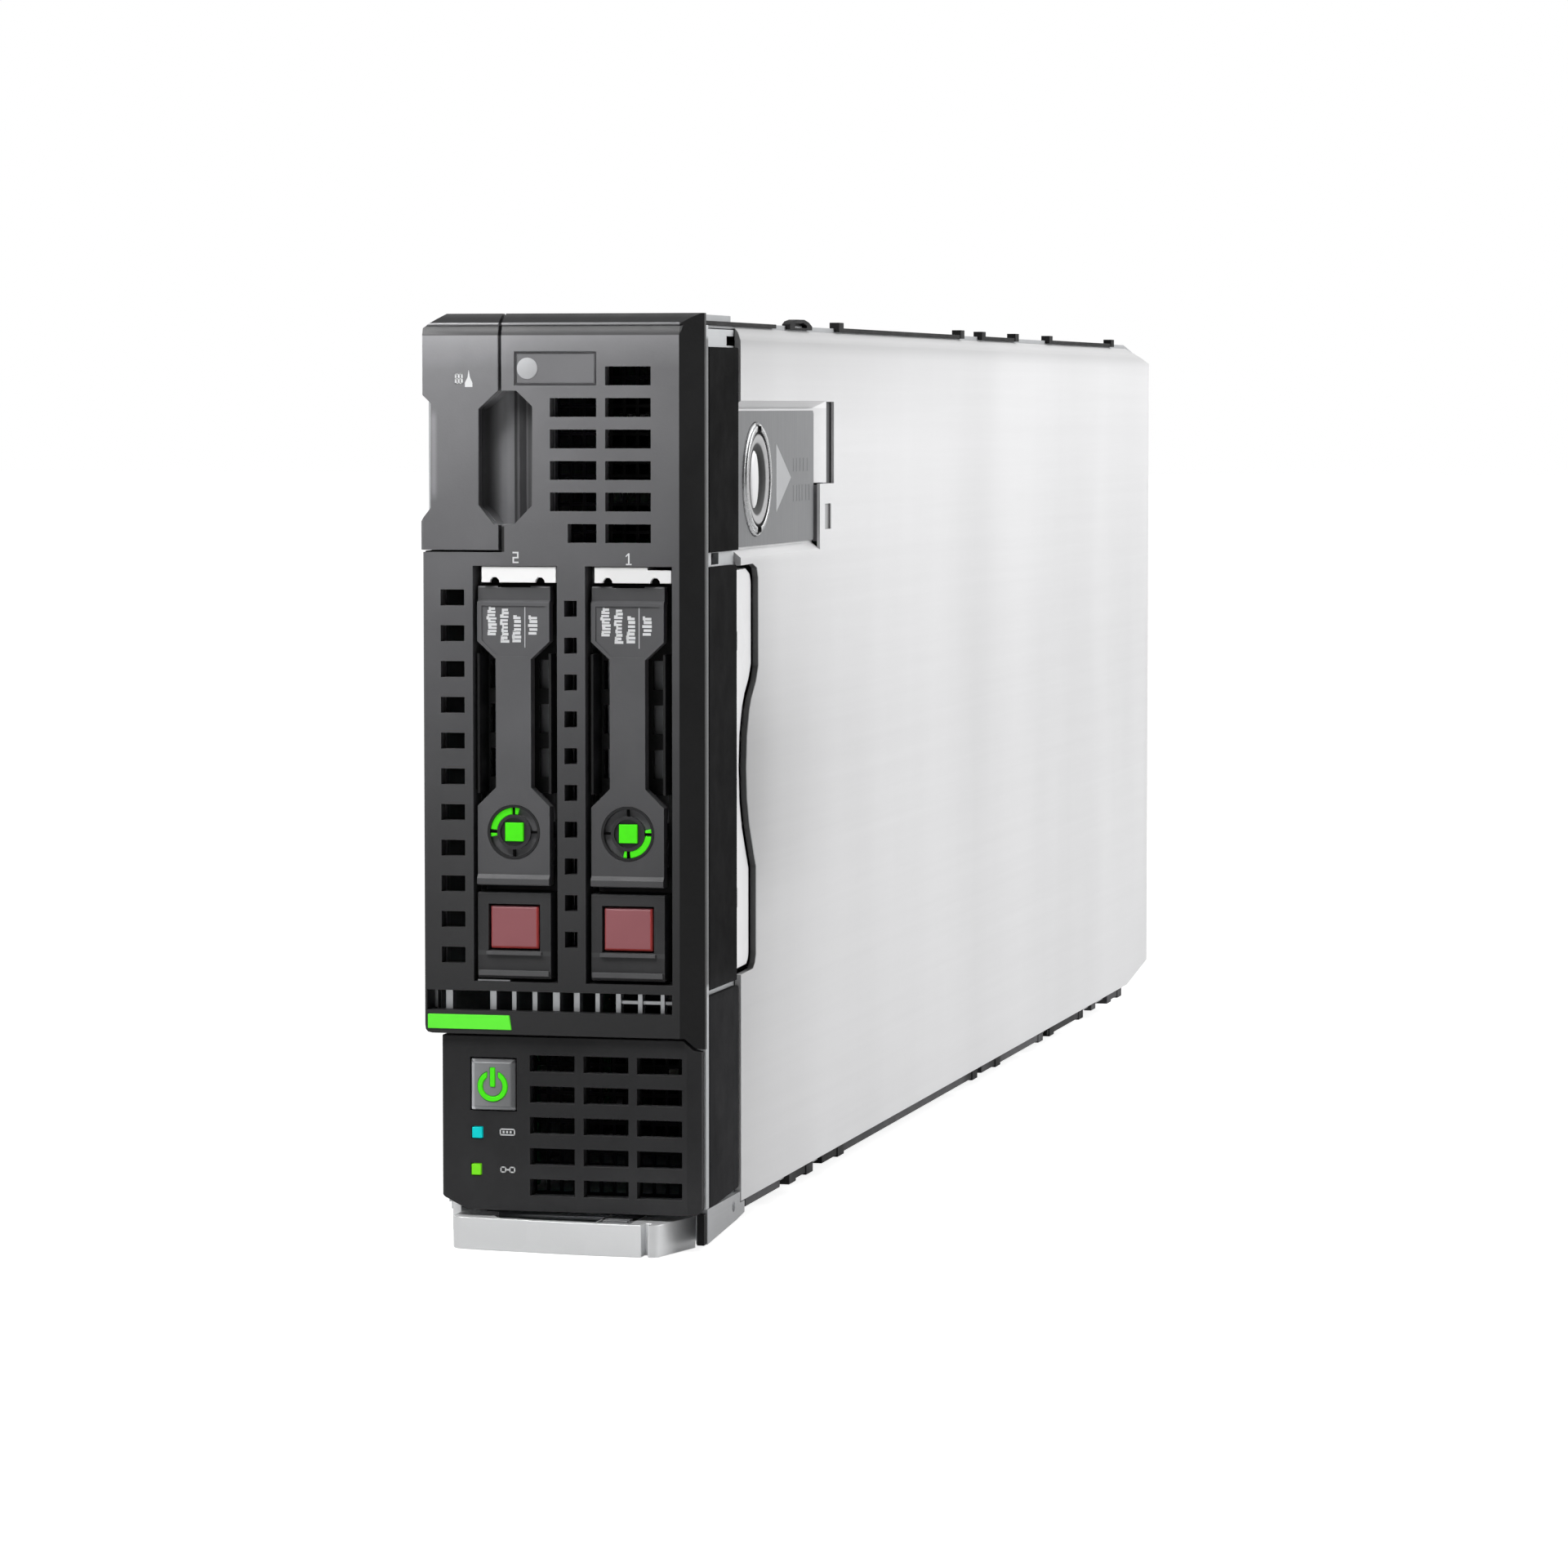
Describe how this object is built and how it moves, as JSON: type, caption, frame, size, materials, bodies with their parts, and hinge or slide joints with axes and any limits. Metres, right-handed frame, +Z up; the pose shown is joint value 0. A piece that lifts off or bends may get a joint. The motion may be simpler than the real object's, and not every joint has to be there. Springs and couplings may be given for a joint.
{
  "type": "blade server",
  "caption": "Slim upright blade server with hot-plug drive carriers, vented front bezel, release lever, lift-off side cover and rear connectors.",
  "frame": {"origin": "centre of the bounding box's footprint, at the underside of the release lever", "axes": "+Z up, +Y from the front bezel to the rear connectors, +X towards the removable side cover"},
  "size_m": [0.0556, 0.5176, 0.1807],
  "materials": {
    "bezel_plastic": "fine moulded texture, charcoal",
    "dark_plastic": "fine moulded texture, near black",
    "handle_plastic": "satin moulded, dark grey",
    "accent_green": "satin bright green",
    "light_green": "lit light pipe",
    "light_blue": "lit light pipe",
    "red_plastic": "translucent satin",
    "satin_panel": "pale satin galvanised sheet",
    "sheet_metal": "plain galvanised sheet",
    "white_plastic": "satin moulded, white",
    "lever_metal": "satin silver",
    "button_metal": "satin grey silver",
    "label_grey": "satin grey film",
    "latch_metal": "polished turned metal",
    "pin_steel": "turned steel",
    "board_green": "solder mask",
    "heat_sink_metal": "bare extruded",
    "chip_metal": "nickel plated lid",
    "socket_cream": "moulded",
    "part_dark": "mixed small parts",
    "drive_case": "cast and machined"
  },
  "bodies": {
    "chassis": {"bezel": "bezel_plastic", "lower_plate": "dark_plastic", "green_bar": "accent_green", "front_frame": "sheet_metal", "emi_mesh": "dark_plastic", "grille_bars": "sheet_metal", "bay_lips": "white_plastic", "side_block_top": "dark_plastic", "side_block_mid": "dark_plastic", "side_block_low": "dark_plastic", "status_light_blue": "light_blue", "status_light_green": "light_green", "control_board": "board_green", "io_connector": "dark_plastic", "chassis_tub": "sheet_metal", "rear_plate": "sheet_metal", "top_strips": "dark_plastic", "bottom_strips": "dark_plastic", "bracket_right": "lever_metal", "bracket_left": "lever_metal", "bracket_cap": "dark_plastic", "lever_pin": "pin_steel", "inset_strip": "sheet_metal", "drive_cage": "sheet_metal", "drive_backplane": "board_green", "system_board": "board_green", "board_screws": "pin_steel", "cpu_sockets": "socket_cream", "processors": "chip_metal", "heat_sinks": "heat_sink_metal", "dimm_sockets": "part_dark", "memory_modules": "board_green", "board_parts": "part_dark", "coin_cell": "chip_metal", "mezzanine_card": "board_green", "network_card": "board_green", "air_baffle": "part_dark", "signal_connector": "dark_plastic", "power_connector": "dark_plastic"},
    "release_lever": {"lever": "lever_metal"},
    "lever_release": {"lever_button": "button_metal"},
    "power_key": {"power_button": "button_metal", "power_light": "light_green"},
    "info_tab": {"pull_tab": "bezel_plastic"},
    "side_cover": {"access_panel": "satin_panel", "latch_plate": "label_grey", "latch_ring": "latch_metal"},
    "cover_latch": {"latch_button": "latch_metal"},
    "drive_unit_left": {"carrier_left": "dark_plastic", "drive_left": "drive_case"},
    "drive_unit_right": {"carrier_right": "dark_plastic", "drive_right": "drive_case"},
    "drive_handle_left": {"handle_left": "handle_plastic", "status_ring_left": "dark_plastic", "status_arc_left": "light_green"},
    "drive_handle_right": {"handle_right": "handle_plastic", "status_ring_right": "dark_plastic", "status_arc_right": "light_green"},
    "drive_key_left": {"red_button_left": "red_plastic"},
    "drive_key_right": {"red_button_right": "red_plastic"}
  },
  "joints": [
    {"name": "lever_hinge", "type": "hinge", "parent": "chassis", "child": "release_lever", "pos_m": [0, -0.2392, 0.0046], "axis": [1, 0, 0], "range_deg": [0, 60]},
    {"name": "lever_release_press", "type": "slide", "parent": "release_lever", "child": "lever_release", "axis": [0, 1, 0], "range_m": [0, 0.0015], "stiffness_N_per_m": 800},
    {"name": "power_press", "type": "slide", "parent": "chassis", "child": "power_key", "axis": [0, 1, 0], "range_m": [0, 0.0012], "stiffness_N_per_m": 800},
    {"name": "tab_slide", "type": "slide", "parent": "chassis", "child": "info_tab", "axis": [0, -1, 0], "range_m": [0, 0.055]},
    {"name": "cover_lift", "type": "slide", "parent": "chassis", "child": "side_cover", "axis": [1, 0, 0], "range_m": [0, 0.07]},
    {"name": "cover_latch_press", "type": "slide", "parent": "side_cover", "child": "cover_latch", "axis": [-1, 0, 0], "range_m": [0, 0.0015], "stiffness_N_per_m": 1200},
    {"name": "carrier_slide_left", "type": "slide", "parent": "chassis", "child": "drive_unit_left", "axis": [0, -1, 0], "range_m": [0, 0.125]},
    {"name": "handle_hinge_left", "type": "hinge", "parent": "drive_unit_left", "child": "drive_handle_left", "pos_m": [-0.0094, -0.2508, 0.1262], "axis": [-1, 0, 0], "range_deg": [0, 50]},
    {"name": "drive_key_press_left", "type": "slide", "parent": "drive_unit_left", "child": "drive_key_left", "axis": [0, 1, 0], "range_m": [0, 0.0012], "stiffness_N_per_m": 800},
    {"name": "carrier_slide_right", "type": "slide", "parent": "chassis", "child": "drive_unit_right", "axis": [0, -1, 0], "range_m": [0, 0.125]},
    {"name": "handle_hinge_right", "type": "hinge", "parent": "drive_unit_right", "child": "drive_handle_right", "pos_m": [0.0133, -0.2508, 0.1262], "axis": [-1, 0, 0], "range_deg": [0, 50]},
    {"name": "drive_key_press_right", "type": "slide", "parent": "drive_unit_right", "child": "drive_key_right", "axis": [0, 1, 0], "range_m": [0, 0.0012], "stiffness_N_per_m": 800}
  ]
}
